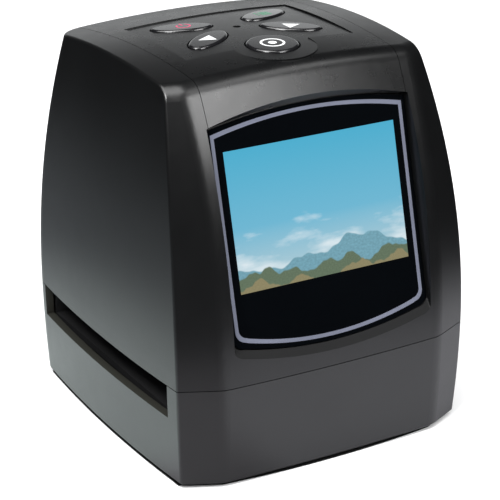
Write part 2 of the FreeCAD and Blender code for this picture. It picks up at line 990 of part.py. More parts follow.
def lower_shell():
    """Tray with the slot cut in both sides, the lip, screw bosses and posts."""
    shell = form(0).common(layer(s.foot_stand, s.parting))
    rim = [edge for edge in shell.Edges if edge.BoundBox.ZMax < float(s.foot_stand + s.base_bevel)]
    shell = shell.makeChamfer(float(s.base_bevel), rim)
    shell = shell.cut(form(s.wall).common(layer(floor_top, s.parting + s.overrun)))
    lip_top = s.parting + s.lip_height
    lip = form(s.lip_inset).cut(form(s.wall)).common(layer(s.parting - s.lip_height, lip_top))
    lip = lip.cut(rods(CASE_SCREW_PLACES, s.parting, lip_top, s.case_boss_radius + s.socket_gap))
    bosses = rods(CASE_SCREW_PLACES, s.foot_stand, s.parting, s.case_boss_radius)
    bosses = bosses.common(form(s.wall / 2))
    posts = rods(BED_POST_PLACES, s.foot_stand, bed_low, s.bed_post_radius)
    light_posts = rods(LIGHT_POST_PLACES, s.foot_stand, light_board_low, s.light_post_radius)
    shell = shell.fuse([lip, bosses, posts, light_posts])
    slot = block(-reach, slot_near, slot_floor, reach, slot_far, s.parting + s.overrun)
    hole_radius = s.small_shank_radius + s.screw_clearance
    head_hole_radius = s.case_head_radius + s.screw_clearance
    cutters = [
        slot,
        rods(CASE_SCREW_PLACES, 0, s.parting + s.overrun, s.case_shank_radius + s.screw_clearance),
        rods(CASE_SCREW_PLACES, 0, s.foot_stand + s.counterbore_depth, head_hole_radius),
        rods(BED_POST_PLACES, bed_low - s.small_screw_length, bed_low, hole_radius),
        rods(LIGHT_POST_PLACES, light_board_low - s.light_post_height, light_board_low, hole_radius),
        rods(FOOT_PLACES.values(), 0, s.foot_stand + s.foot_sink, s.foot_radius + s.foot_clearance),
    ]
    for cutter in cutters:
        shell = shell.cut(cutter)
    return computed("lower_shell", shell.removeSplitter().Solids[0])


def upper_shell():
    """Casing above the parting line: walls, the panel's ledge, the window's seat, bosses and ports."""
    rim = s.parting + s.parting_gap
    above = layer(rim, s.height + s.overrun)
    under_panel = s.panel_thickness + s.panel_clearance / 3
    ledge_inset = under_panel + s.ledge_thickness
    shell = form(0).cut(form(s.wall))
    groove = form(s.lip_inset - s.lip_clearance)
    shell = shell.cut(groove.common(layer(0, s.parting + s.lip_height + s.parting_gap)))
    ledge = form(under_panel).cut(form(ledge_inset)).common(tongue(-s.ledge_overlap))
    seat = screen_block(
        s.window_half + s.seat_margin,
        -(s.window_low_mid + s.seat_margin),
        s.window_top_mid + s.seat_margin,
        -(s.window_thickness + s.seat_thickness),
        s.recess_reach,
    )
    seat = seat.common(form(s.wall / 2))
    bosses = rods(CASE_SCREW_PLACES, rim, s.parting + s.case_boss_rise, s.case_boss_radius)
    screen_bosses = screen_rods(BRACKET_HOLE_PLACES, bracket_front, s.recess_reach, s.bracket_boss_radius)
    inside = form(s.wall / 2)
    shell = shell.fuse([ledge, seat, bosses.common(inside), screen_bosses.common(inside)]).common(above)

    panel_layer = form(0).cut(form(under_panel)).common(tongue(0))
    opening = block(
        -(s.pad_half + s.key_flange),
        light_y - s.bulge_drop - s.bulge_radius,
        s.panel_low,
        s.pad_half + s.key_flange,
        light_y + s.pad_behind,
        s.height,
    )
    field_up = s.field_height / 2
    field = screen_block(s.field_width / 2, -field_up, field_up, lcd_back, s.recess_reach)
    hole_radius = s.small_shank_radius + s.screw_clearance
    case_hole_radius = s.case_shank_radius + s.screw_clearance
    cutters = [
        panel_layer,
        opening.cut(seat),
        window_recess(),
        field,
        rods(CASE_SCREW_PLACES, s.parting, s.parting + s.case_boss_rise - s.wall, case_hole_radius),
        screen_rods(BRACKET_HOLE_PLACES, bracket_front, bracket_front + s.small_screw_length, hole_radius),
        *port_openings(),
    ]
    for cutter in cutters:
        shell = shell.cut(cutter)
    return computed("upper_shell", shell.removeSplitter().Solids[0])


def port_openings():
    """The three openings in the back wall, each a little larger than its socket."""
    gap = s.socket_gap
    low, near, far = main_board_top - gap, socket_mouth - s.wall, back + s.overrun
    card_half = s.card_width / 2 + gap
    card = block(-card_half, near, low, card_half, far, main_board_top + s.card_height + gap)
    usb_low, usb_high = -(s.usb_across + s.usb_width / 2 + gap), s.usb_width / 2 + gap - s.usb_across
    usb = block(usb_low, near, low, usb_high, far, main_board_top + s.usb_height + gap)
    av_start = point(s.av_across, near, main_board_top + s.av_height / 2)
    av = Part.makeCylinder(float(s.av_height / 2 + gap), float(far - near), av_start, ALONG)
    return card, usb, av


def keypad_zone(low):
    """The keypad's field in plan: a rectangle with a round bulge at its front."""
    high = s.height + s.overrun
    zone = block(-s.pad_half, light_y - s.pad_before, low, s.pad_half, light_y + s.pad_behind, high)
    return zone.fuse(rod(0, light_y - s.bulge_drop, low, high, s.bulge_radius))


def key_wire_face(key, grow, low):
    """A key's outline, grown all round, as a level face."""
    x, y, long_half, short_half, angle = KEYS[key]
    spot = point(x, y, low)
    long_half, short_half = float(long_half + grow), float(short_half + grow)
    if long_half == short_half:
        curve = Part.Circle(spot, UP, long_half)
    else:
        curve = Part.Ellipse(spot, long_half, short_half)
    face = Part.Face(Part.Wire([curve.toShape()]))
    face.rotate(spot, UP, float(angle))
    return face


def key_prism(key, grow, low, high):
    """A key's outline, grown all round, as an upright solid."""
    return key_wire_face(key, grow, low).extrude(point(0, 0, high - low))


def top_panel():
    """Saddle over the roof: the keypad's field, the keys' holes and the bosses of their board."""
    under = form(s.panel_thickness)
    panel = form(0).cut(under).common(tongue(s.panel_clearance))
    panel = panel.cut(window_recess())
    field = dome_block(pad_crown, light_y - s.pad_peak_drop, s.pad_radius)[0]
    low = key_flange_top
    panel = panel.cut(keypad_zone(low).cut(field))
    bulge = rod(0, light_y - s.bulge_drop, low, s.height + s.overrun, s.bulge_radius)
    panel = panel.fuse(bulge.common(field).cut(under))
    bosses = rods(PANEL_BOSS_PLACES, button_board_top, s.height, s.panel_boss_radius)
    panel = panel.fuse(bosses.common(form(s.panel_thickness / 2)))
    for key in KEYS:
        panel = panel.cut(key_prism(key, 0, low, s.height + s.overrun))
    panel = panel.cut(rod(0, light_y, low, s.height + s.overrun, s.light_hole_radius))
    pilot_top = key_flange_top - s.panel_thickness / 2
    hole_radius = s.small_shank_radius + s.screw_clearance
    panel = panel.cut(rods(PANEL_BOSS_PLACES, button_board_low, pilot_top, hole_radius))
    return computed("top_panel", panel.removeSplitter().Solids[0])


def display_window():
    """The flat window, lying in its pocket."""
    prism = window_prism(0)
    prism.Placement = screen_placement()
    return computed("display_window", prism)


# Keys, their switches and the status light


def key_button(key):
    """A key: a cap that follows the keypad's bow, a flange under the panel and a nub below."""
    x, y = KEYS[key][:2]
    top = dome_block(pad_crown + s.key_proud, light_y - s.pad_peak_drop, s.pad_radius)[0]
    cap = key_prism(key, -s.key_gap, key_flange_low, s.height + s.overrun).common(top)
    edges = [edge for edge in cap.Edges if edge.BoundBox.ZMin > key_flange_top.value]
    cap = cap.makeFillet(s.key_edge_round.value, edges)
    flange = key_prism(key, s.key_flange, key_flange_low, key_flange_top)
    nub = rod(x, y, key_nub_low, key_flange_top, s.key_nub_radius)
    return computed(f"{key}_button", cap.fuse([flange, nub]).removeSplitter().Solids[0])


def key_switch(key):
    """A switch on the board: its case, and the plunger that the key pushes."""
    x, y = KEYS[key][:2]
    case = middle_box(f"{key}_case", s.switch_side, s.switch_side, s.switch_height, x, y, button_board_top)
    plunger_low = switch_top - s.plunger_depth
    well_low = plunger_low - s.key_travel - s.plunger_clearance / 2
    well = cylinder(
        f"{key}_well", s.plunger_radius + s.plunger_clearance, s.switch_height, x, y, well_low
    )
    keep(cut(f"{key}_switch", case, [well]), f"{key}_switch")
    height = plunger_top - plunger_low
    keep(cylinder(f"{key}_plunger", s.plunger_radius, height, x, y, plunger_low), f"{key}_plunger")


def status_light():
    """A light pipe that ends a little below the keypad's face."""
    fall = s.pad_peak_drop**2 / (2 * s.pad_radius)
    height = pad_crown - fall - s.light_sink - button_board_top
    foot = cylinder("light_foot", s.light_foot_radius, s.light_foot_height, 0, light_y, button_board_top)
    pipe = cylinder("light_pipe", s.light_radius, height, 0, light_y, button_board_top)
    keep(fused("status_light", [foot, pipe]), "status_light")


def button_board():
    """The keys' board under the panel's bosses."""
    middle_y = light_y + (s.button_board_behind - s.button_board_before) / 2
    half_y = (s.button_board_behind + s.button_board_before) / 2
    outline = square_outline(0, middle_y, s.button_board_half, half_y)
    board("button_board", button_board_low, outline, PANEL_BOSS_PLACES)
    length = s.small_screw_length - s.board_thickness / 2
    small_screws("button_board_screws", PANEL_BOSS_PLACES, button_board_low, length, downwards=False)


# Screen


def screen_parts():
    """The display panel behind its seat, and the steel bracket that holds it."""
    panel = doc.addObject("Part::Box", "lcd_panel")
    bind(panel, Length=s.lcd_width, Width=s.lcd_height, Height=s.lcd_thickness)
    keep(on_screen(panel, -s.lcd_width / 2, -s.lcd_height / 2, lcd_back), "lcd_panel")

    plate = doc.addObject("Part::Box", "bracket_plate")
    bind(plate, Length=s.bracket_width, Width=s.bracket_height, Height=s.bracket_thickness)
    on_screen(plate, -s.bracket_width / 2, -s.bracket_height / 2, bracket_back)
    opening_width = s.bracket_width - 4 * s.bracket_rim
    opening_height = s.bracket_height - 2 * s.bracket_rim
    opening = doc.addObject("Part::Box", "bracket_opening")
    bind(opening, Length=opening_width, Width=opening_height, Height=s.bracket_thickness + s.overrun)
    on_screen(opening, -opening_width / 2, -opening_height / 2, bracket_back - s.overrun / 2)
    holes = []
    parts = []
    for across, up in BRACKET_HOLE_PLACES:
        hole = doc.addObject("Part::Cylinder", "bracket_hole")
        bind(hole, Radius=s.small_shank_radius + s.screw_clearance, Height=s.bracket_thickness + s.overrun)
        holes.append(on_screen(hole, across, up, bracket_back - s.overrun / 2))
        head = doc.addObject("Part::Cylinder", "bracket_screw_head")
        bind(head, Radius=s.small_head_radius, Height=s.small_head_height)
        on_screen(head, across, up, bracket_back - s.small_head_height)
        shank = doc.addObject("Part::Cylinder", "bracket_screw_shank")
        bind(shank, Radius=s.small_shank_radius, Height=s.small_screw_length)
        on_screen(shank, across, up, bracket_back)
        parts.append(fused("bracket_screw", [head, shank]))
    keep(cut("lcd_bracket", plate, [opening, *holes]), "lcd_bracket")
    keep(grouped("bracket_screws", parts), "bracket_screws")


# Film bed and the light under it


def film_bed():
    """The channel's floor and rails, with the gate, and ears that carry the chassis."""
    body = new_body("film_bed")
    base = new_sketch(body, "XY_Plane", bed_low)
    rectangle(base, -bed_half, bed_near, bed_half, bed_far)
    gate_half, gate_along = s.gate_width / 2, s.gate_height / 2
    rectangle(base, -gate_half, gate_y - gate_along, gate_half, gate_y + gate_along)
    for x, y in BED_POST_PLACES:
        circle(base, x, y, s.small_shank_radius + s.screw_clearance)
    pad(body, base, s.bed_thickness)
    rails = new_sketch(body, "XY_Plane", bed_low)
    rectangle(rails, -bed_half, bed_near, bed_half, slot_near)
    rectangle(rails, -bed_half, slot_far, bed_half, bed_far)
    pad(body, rails, rail_top - bed_low)
    ears = new_sketch(body, "XY_Plane", bed_low)
    for x, y in BED_EAR_PLACES:
        circle(ears, x, y, s.bed_ear_radius)
    pad(body, ears, rail_top - bed_low)
    sinks = new_sketch(body, "XY_Plane", bed_top - s.small_head_height - s.screw_clearance)
    for x, y in BED_POST_PLACES:
        circle(sinks, x, y, s.small_head_radius + s.screw_clearance)
    pocket(body, sinks, s.bed_thickness)
    pilots = new_sketch(body, "XY_Plane", rail_top - s.small_screw_length)
    for x, y in BED_EAR_PLACES:
        circle(pilots, x, y, s.small_shank_radius + s.screw_clearance)
    pocket(body, pilots, s.small_screw_length + s.overrun)
    seat = bed_top - s.small_head_height - s.screw_clearance
    small_screws("bed_screws", BED_POST_PLACES, seat, s.small_screw_length)


def pocket(body, sketch, length):
    """Cut a sketch upwards out of a body."""
    doc.recompute()
    before = body.Shape.Volume
    feature = body.newObject("PartDesign::Pocket", f"{body.Name}_pocket")
    feature.Profile = sketch
    feature.Reversed = True
    bind(feature, Length=length)
    sketch.Visibility = False
    doc.recompute()
    if not body.Shape.Volume < before:
        raise RuntimeError(f"{feature.Name} cuts nothing")
    return feature


def backlight():
    """Board with its lights, white box and diffuser, stacked under the gate."""
    half_x, half_y = s.light_box_width / 2, s.light_box_depth / 2
    outline = square_outline(0, gate_y, half_x, half_y)
    board("backlight_board", light_board_low, outline, LIGHT_POST_PLACES)
    length = s.board_thickness + s.light_post_height / 2
    small_screws("backlight_screws", LIGHT_POST_PLACES, light_board_top, length)
    leds = [
        middle_box(
            "backlight_led",
            s.led_length,
            s.led_width,
            s.led_height,
            side * s.led_across,
            gate_y + end * s.led_along,
            light_board_top,
        )
        for side in SIDES
        for end in SIDES
    ]
    keep(grouped("backlight_leds", leds), "backlight_leds")

    body = new_body("light_box")
    walls = new_sketch(body, "XY_Plane", light_board_top)
    rectangle(walls, -half_x, gate_y - half_y, half_x, gate_y + half_y)
    inner_x, inner_y = half_x - s.light_box_wall, half_y - s.light_box_wall
    rectangle(walls, -inner_x, gate_y - inner_y, inner_x, gate_y + inner_y)
    pad(body, walls, diffuser_low - light_board_top)

    plate = middle_box(
        "diffuser", s.light_box_width, s.light_box_depth, s.diffuser_thickness, 0, gate_y, diffuser_low
    )
    keep(plate, "diffuser")


# Camera


def taper(label, foot_half, foot_along, top_half, height, z):
    """A bound tapering block that stands over the gate."""
    item = doc.addObject("Part::Wedge", label)
    bind(item, Xmin=-foot_half, Xmax=foot_half, Zmin=-foot_along, Zmax=foot_along, Ymin=0, Ymax=height)
    bind(item, X2min=-top_half, X2max=top_half, Z2min=-top_half, Z2max=top_half)
    item.Placement = FreeCAD.Placement(ORIGIN, FreeCAD.Rotation(ACROSS, 90))
    return place(item, 0, gate_y, z)


def camera_chassis():
    """Upper film guide with the camera's side of the gate and posts for the main board."""
    across, along = 2 * plate_half, bed_far - bed_near
    plate = box("chassis_plate", across, along, s.plate_thickness, -plate_half, bed_near, rail_top)
    ears = [
        cylinder("chassis_ear", s.bed_ear_radius, s.plate_thickness, x, y, rail_top)
        for x, y in BED_EAR_PLACES
    ]
    post_height = s.plate_thickness + s.board_post_height
    posts = [
        cylinder("chassis_post", s.board_post_radius, post_height, x, y, rail_top)
        for x, y in MAIN_POST_PLACES
    ]
    gate = middle_box(
        "chassis_gate",
        2 * (s.tunnel_foot_half - s.tunnel_wall),
        2 * (s.tunnel_foot_along - s.tunnel_wall),
        s.plate_thickness,
        0,
        gate_y,
        rail_top,
    )
    hole_radius = s.small_shank_radius + s.screw_clearance
    ear_holes = [
        cylinder("chassis_ear_hole", hole_radius, s.plate_thickness, x, y, rail_top)
        for x, y in BED_EAR_PLACES
    ]
    post_holes = [
        cylinder("chassis_post_hole", hole_radius, s.board_post_height, x, y, plate_top)
        for x, y in MAIN_POST_PLACES
    ]
    solid = fused("chassis_blank", [plate, *ears, *posts])
    tools = [gate, *ear_holes, *post_holes]
    keep(cut("camera_chassis", solid, tools), "camera_chassis")
    small_screws("chassis_screws", BED_EAR_PLACES, plate_top, s.small_screw_length)


def camera_tunnel():
    """Dark tapering hood from the gate up to the lens, with a rim that rests on the chassis."""
    outer = taper(
        "tunnel", s.tunnel_foot_half, s.tunnel_foot_along, s.tunnel_top_half, s.tunnel_height, plate_top
    )
    rim = middle_box(
        "tunnel_foot",
        2 * (s.tunnel_foot_half + s.tunnel_rim),
        2 * (s.tunnel_foot_along + s.tunnel_rim),
        s.tunnel_rim_thickness,
        0,
        gate_y,
        plate_top,
    )
    side = 2 * s.flange_half
    flange = middle_box("tunnel_flange", side, side, s.flange_thickness, 0, gate_y, tunnel_top)
    inner = taper(
        "tunnel_bore",
        s.tunnel_foot_half - s.tunnel_wall,
        s.tunnel_foot_along - s.tunnel_wall,
        s.tunnel_top_half - s.tunnel_wall,
        s.tunnel_height,
        plate_top,
    )
    eye = cylinder("flange_hole", s.flange_hole_radius, s.flange_thickness, 0, gate_y, tunnel_top)
    hole_radius = s.small_shank_radius + s.screw_clearance
    flange_holes = [
        cylinder("flange_screw_hole", hole_radius, s.flange_thickness, x, y, tunnel_top)
        for x, y in HOLDER_HOLE_PLACES
    ]
    solid = fused("tunnel_blank", [outer, rim, flange])
    keep(cut("camera_tunnel", solid, [inner, eye, *flange_holes]), "camera_tunnel")


def camera():
    """Lens holder, threaded barrel with its lenses, filter, sensor and sensor board."""
    base_side, block_side = 2 * s.holder_half, 2 * s.holder_block_half
    base = middle_box("holder_base", base_side, base_side, s.holder_base_thickness, 0, gate_y, flange_top)
    tower = middle_box("holder_tower", block_side, block_side, s.holder_height, 0, gate_y, flange_top)
    bore = cylinder("holder_bore", s.barrel_radius + s.barrel_fit, s.holder_height, 0, gate_y, flange_top)
    cavity_low = sensor_board_low - s.holder_cavity_depth
    side = 2 * s.holder_cavity_half
    cavity = middle_box("holder_cavity", side, side, s.holder_cavity_depth, 0, gate_y, cavity_low)
    hole_radius = s.small_shank_radius + s.screw_clearance
    holes = [
        cylinder("holder_hole", hole_radius, s.holder_base_thickness, x, y, flange_top)
        for x, y in HOLDER_HOLE_PLACES
    ]
    keep(cut("lens_holder", fused("holder_blank", [base, tower]), [bore, cavity, *holes]), "lens_holder")
    holder_length = s.holder_base_thickness + s.flange_thickness
    seat = flange_top + s.holder_base_thickness
    small_screws("holder_screws", HOLDER_HOLE_PLACES, seat, holder_length)

    barrel = new_body("lens_barrel")
    profile = new_sketch(barrel, "XZ_Plane")
    low, high = 0, s.barrel_length
    lip = s.barrel_lip
    polygon(
        profile,
        [
            (s.barrel_eye, low),
            (s.barrel_radius, low),
            (s.barrel_radius, high),
            (s.barrel_bore, high),
            (s.barrel_bore, lip),
            (s.barrel_eye, lip),
        ],
    )
    revolution(barrel, profile)
    barrel_low = flange_top - s.barrel_drop
    place(barrel, 0, gate_y, barrel_low)

    front_low = barrel_low + lip
    lens("front_lens", front_low)
    rear_low = barrel_low + s.barrel_length - s.lens_thickness
    lens("rear_lens", rear_low)

    side = 2 * s.filter_half
    plate = middle_box("infrared_filter", side, side, s.filter_thickness, 0, gate_y, cavity_low)
    keep(plate, "infrared_filter")
    side = 2 * s.chip_half
    chip_low = sensor_board_low - s.chip_thickness
    chip = middle_box("image_sensor", side, side, s.chip_thickness, 0, gate_y, chip_low)
    keep(chip, "image_sensor")
    half = s.sensor_board_half
    board("sensor_board", sensor_board_low, square_outline(0, gate_y, half, half), [])


def lens(name, low):
    """A lens with a bowed upper and lower face."""
    disc = cylinder(f"{name}_disc", s.lens_radius, s.lens_thickness, 0, gate_y, low)
    caps = []
    for z in (low + s.lens_thickness - s.lens_curve, low + s.lens_curve):
        cap = doc.addObject("Part::Sphere", f"{name}_cap")
        caps.append(place(bind(cap, Radius=s.lens_curve), 0, gate_y, z))
    item = doc.addObject("Part::MultiCommon", name)
    item.Shapes = [disc, *caps]
    keep(item, name)


# Main board and its sockets


def main_board():
    """Frame-shaped board round the tunnel, on the chassis's posts."""
    near, far, half = main_board_near, main_board_far, main_board_half
    notch = far - s.main_board_notch
    notch_half = case_back_across - s.case_boss_radius - s.main_board_notch_gap
    outline = [
        (-half, near),
        (half, near),
        (half, notch),
        (notch_half, notch),
        (notch_half, far),
        (-notch_half, far),
        (-notch_half, notch),
        (-half, notch),
    ]
    window = (-board_hole_x, board_hole_near, board_hole_x, board_hole_far)
    board("main_board", main_board_low, outline, MAIN_POST_PLACES, window)
    length = s.board_thickness + s.board_post_height - s.screw_clearance
    small_screws("main_board_screws", MAIN_POST_PLACES, main_board_top, length)
    side = s.main_chip_side
    x = board_hole_x + s.main_chip_side / 2 + s.screw_clearance
    keep(middle_box("main_chip", side, side, s.main_chip_height, x, gate_y, main_board_top), "main_chip")


def sockets():
    """Card, USB and picture sockets, with their mouths in the back wall."""
    low = main_board_top
    x, y = -s.card_width / 2, board_hole_far + s.card_gap
    card_depth = socket_mouth - y
    shell = box("card_case", s.card_width, card_depth, s.card_height, x, y, low)
    depth = card_depth - s.socket_rim
    slot = box(
        "card_slot",
        s.card_slot_width,
        depth,
        s.card_slot_height,
        -s.card_slot_width / 2,
        socket_mouth - depth,
        low + s.card_slot_floor,
    )
    keep(cut("card_socket", shell, [slot]), "card_socket")

    wall = s.usb_wall
    x, y = -s.usb_across, socket_mouth - s.usb_depth
    case = box("usb_case", s.usb_width, s.usb_depth, s.usb_height, x - s.usb_width / 2, y, low)
    depth = s.usb_depth - s.socket_rim
    mouth = box(
        "usb_mouth",
        s.usb_width - 2 * wall,
        depth,
        s.usb_height - 2 * wall,
        x - s.usb_width / 2 + wall,
        socket_mouth - depth,
        low + wall,
    )
    hollow = cut("usb_shell", case, [mouth])
    tongue_width = s.usb_width / 2
    blade = box(
        "usb_blade",
        tongue_width,
        depth,
        s.usb_tongue,
        x - tongue_width / 2,
        y,
        low + s.usb_height / 2 - s.usb_tongue / 2,
    )
    keep(fused("usb_socket", [hollow, blade]), "usb_socket")

    x, y, half = s.av_across, socket_mouth - s.av_depth, s.av_height / 2
    depth = s.av_depth - s.wall
    case = box("av_case", s.av_width, depth, s.av_height, x - s.av_width / 2, y, low)
    collar = lying("av_collar", half, s.av_depth, x, y, low + half)
    bore_depth = s.av_depth - s.socket_rim
    bore = lying("av_bore", s.av_bore, bore_depth, x, socket_mouth - bore_depth, low + half)
    keep(cut("av_socket", fused("av_blank", [case, collar]), [bore]), "av_socket")


# Flat cables


def ribbon(name, corners, width, middle, turn=0):
    """A flat cable: a side view of straight runs joined by round bends, with a width.

    Its corners are given as runs along Y and heights, before the turn about the upright axis.
    """
    half, bend = s.ribbon_half_thickness.value, s.ribbon_bend.value
    spots = [point(0, run, z) for run, z in corners]
    edges = []
    start = spots[0]
    for before, corner, after in zip(spots, spots[1:], spots[2:]):
        inward = (before - corner).normalize()
        outward = (after - corner).normalize()
        half_angle = inward.getAngle(outward) / 2
        first = corner + inward * (bend / math.tan(half_angle))
        last = corner + outward * (bend / math.tan(half_angle))
        centre = corner + (inward + outward).normalize() * (bend / math.sin(half_angle))
        turning = centre + (corner - centre).normalize() * bend
        edges.append(Part.LineSegment(start, first).toShape())
        edges.append(Part.Arc(first, turning, last).toShape())
        start = last
    edges.append(Part.LineSegment(start, spots[-1]).toShape())
    side = Part.Wire(edges).makeOffset2D(half, fill=True)
    side.translate(point(middle - width / 2, 0, 0))
    shape = side.extrude(point(width, 0, 0))
    shape.rotate(ORIGIN, UP, turn)
    return computed(name, shape)


def ribbons():
    """The four flat cables and the connectors that they end in."""
    gap = s.ribbon_half_thickness + s.screw_clearance
    half_depth = s.connector_depth / 2
    top_low, top_high = main_board_top, main_board_top + s.connector_height
    parts = []

    def connector(long_x, long_y, x, y, z):
        parts.append(middle_box("connector", long_x, long_y, s.connector_height, x, y, z))

    lcd_y = main_board_near + half_depth + s.screw_clearance
    connector(s.lcd_ribbon_width + 2 * s.connector_margin, s.connector_depth, 0, lcd_y, top_low)
    tilt = s.screen_tilt
    edge_out = (lcd_front + lcd_back) / 2
    edge_up = -(s.lcd_height / 2 + gap)
    edge_y = screen_y + edge_up * sine(tilt) - edge_out * cosine(tilt)
    edge_z = s.screen_height + edge_up * cosine(tilt) + edge_out * sine(tilt)
    plug_z = (top_low + top_high) / 2
    path = [(edge_y, edge_z), (edge_y, plug_z), (lcd_y - half_depth - gap, plug_z)]
    ribbon("lcd_ribbon", path, s.lcd_ribbon_width, 0)

    across = (s.tunnel_foot_half + main_board_half) / 2
    pad_y = gate_y + s.keypad_ribbon_along
    connector(s.connector_depth, s.keypad_ribbon_width + 2 * s.connector_margin, across, pad_y, top_low)
    board_z = button_board_low + s.board_thickness / 2
    path = [(s.button_board_half + gap, board_z), (across, board_z), (across, top_high + gap)]
    ribbon("keypad_ribbon", path, s.keypad_ribbon_width, -pad_y, -90)

    connector(s.connector_depth, s.sensor_ribbon_width + 2 * s.connector_margin, -across, gate_y, top_low)
    board_z = sensor_board_low + s.board_thickness / 2
    path = [(s.sensor_board_half + gap, board_z), (across, board_z), (across, top_high + gap)]
    ribbon("sensor_ribbon", path, s.sensor_ribbon_width, gate_y, 90)

    plug_y = bed_far + s.light_ribbon_gap
    under_low = main_board_low - s.connector_height
    connector(s.light_ribbon_width + 2 * s.connector_margin, s.connector_depth, 0, plug_y, under_low)
    board_z = light_board_low + s.board_thickness / 2
    start_y = gate_y + s.light_box_depth / 2 + gap
    path = [(start_y, board_z), (plug_y, board_z), (plug_y, under_low - gap)]
    ribbon("backlight_ribbon", path, s.light_ribbon_width, 0)
    keep(grouped("ribbon_connectors", parts), "ribbon_connectors")


def rubber_feet():
    """Four separate feet, each in its own recess."""
    for name, (x, y) in FOOT_PLACES.items():
        keep(cylinder(name, s.foot_radius, s.foot_stand + s.foot_sink, x, y, 0), name)


def case_screws():
    """Four long screws from below, through the tray's bosses into the upper ones."""
    seat = s.foot_stand + s.counterbore_depth
    sizes = (s.case_shank_radius, s.case_head_radius, s.case_head_height, s.case_screw_length)
    screws("case_screws", CASE_SCREW_PLACES, seat, *sizes, downwards=False)


lower_shell()
upper_shell()
top_panel()
display_window()
for key_name in KEYS:
    key_button(key_name)
    key_switch(key_name)
status_light()
button_board()
screen_parts()
film_bed()
backlight()
camera_chassis()
camera_tunnel()
camera()
main_board()
sockets()
ribbons()
rubber_feet()
case_screws()

doc.recompute()

for item in doc.Objects:
    if "Invalid" in item.State or "Error" in item.State:
        raise RuntimeError(f"{item.Label} failed: {item.State}")
for node in nodes:
    if node.Shape.isNull() or not node.Shape.isValid() or not node.Shape.Solids:
        raise RuntimeError(f"{node.Label} has no valid solid")

os.makedirs("parts", exist_ok=True)
for node in nodes:
    node.Shape.exportStep(f"parts/{node.Label}.step")
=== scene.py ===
import json
import math

import bpy
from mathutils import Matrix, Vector


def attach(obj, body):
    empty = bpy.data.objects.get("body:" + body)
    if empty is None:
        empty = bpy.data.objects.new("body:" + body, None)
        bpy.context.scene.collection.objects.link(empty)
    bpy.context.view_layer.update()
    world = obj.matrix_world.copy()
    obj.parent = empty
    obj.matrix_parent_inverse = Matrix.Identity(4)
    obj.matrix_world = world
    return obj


# Film negative scanner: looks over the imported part.
# Pieces, lamps and the camera are placed in millimetres. Materials measure in metres, as Blender does.

MM = 0.001
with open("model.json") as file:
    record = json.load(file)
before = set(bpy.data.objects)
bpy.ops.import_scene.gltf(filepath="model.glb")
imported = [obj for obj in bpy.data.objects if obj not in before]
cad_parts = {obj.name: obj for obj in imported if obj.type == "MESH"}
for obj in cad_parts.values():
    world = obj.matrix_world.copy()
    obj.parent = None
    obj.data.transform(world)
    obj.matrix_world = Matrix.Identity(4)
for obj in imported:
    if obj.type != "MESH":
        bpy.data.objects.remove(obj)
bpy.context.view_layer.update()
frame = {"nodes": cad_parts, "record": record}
nodes = frame["nodes"]
scene = bpy.context.scene

# Camera: the point it aims at, where it stands round that point, and its lens
AIM = (-0.324, -1.9, 42.985)
CAMERA_AZIMUTH = -29.836
CAMERA_ELEVATION = 22.56
CAMERA_DISTANCE = 522.777
CAMERA_LENS = 141.65
CAMERA_SENSOR = 36.0
CLIP_START = 0.02
CLIP_END = 30.0

# The screen's plane, its picture and the line round it, as built
SCREEN_Y = -35.3
SCREEN_Z = 66.9
SCREEN_TILT = math.radians(14.5)
PRINT_LIFT = 0.02
PICTURE_HALF = 24.5
PICTURE_LOW = -17.7
PICTURE_HIGH = 17.5
LINE_OUTLINE = {"half": 27.45, "top": 22.0, "crown": 25.0, "low": 29.3, "keel": 33.0, "corner": 3.0}
LINE_WIDTH = 0.95
CORNER_SHRINK = 0.6  # how much less the line's inner corner is, as a share of its width
BELLY_DROP = 0.16  # how far the belly's ends lie below low, as a share of the corner
TURN_DROP = 0.1  # and how far the turns do
BOW_STEPS = 48
TURN_STEPS = 12

# The keypad's bow and the keys' places on it, as built
ROOF_HEIGHT = 103.0
PAD_CROWN = 102.61
PAD_PEAK_Y = -3.44
PAD_RADIUS = 320.0
PAD_CROSS_RADIUS = 350.0
KEY_PROUD = 0.45
MARK_LIFT = 0.015
PETAL_X = 12.1
UPPER_Y = 13.0
LOWER_Y = -1.2
SCAN_Y = -12.6

# Zones of the casing with a gloss of their own: from no share to a full one, how a normal leans, and
# where the zone lies in metres
SILL_LEAN = (0.4, 0.5)
SILL_BELOW = (0.062, 0.06)
SILL_ROUGHNESS = 1.0
SLOT_FLOOR_LEAN = (0.7, 0.8)
SLOT_FRONT_LEAN = (-0.9, -0.95)
SLOT_BEHIND = (-0.038, -0.036)
SLOT_ROUGHNESS = 0.5
# Painted light: the slot's faces that face up or forward get a lighter colour, as if lit
SLOT_LIT_COLOUR = (0.024, 0.024, 0.019)


# Materials

# Noise, in cycles per metre, for the mottle, the rubbed places and the gloss, and how far the gloss swings
CLOUD_SCALE = 60.0
RUB_SCALE = 140.0
GLOSS_SCALE = 220.0
GLOSS_SWING = (0.95, 1.06)


def find_shader(tree):
    """The one shader of a material's tree."""
    return next(node for node in tree.nodes if node.type == "BSDF_PRINCIPLED")


def new_material(name):
    """A plain node material: itself, its tree, its shader and its object coordinates."""
    material = bpy.data.materials.new(name)
    material.use_nodes = True
    tree = material.node_tree
    coordinates = tree.nodes.new("ShaderNodeTexCoord")
    return material, tree, find_shader(tree), coordinates.outputs["Object"]


def add_noise(tree, vector, scale, detail=4.0, stretch=None):
    """A noise texture's value, in cycles per unit of the vector."""
    if stretch:
        mapping = tree.nodes.new("ShaderNodeMapping")
        mapping.inputs["Scale"].default_value = stretch
        tree.links.new(vector, mapping.inputs["Vector"])
        vector = mapping.outputs["Vector"]
    noise = tree.nodes.new("ShaderNodeTexNoise")
    noise.inputs["Scale"].default_value = scale
    noise.inputs["Detail"].default_value = detail
    tree.links.new(vector, noise.inputs["Vector"])
    return noise.outputs["Fac"]


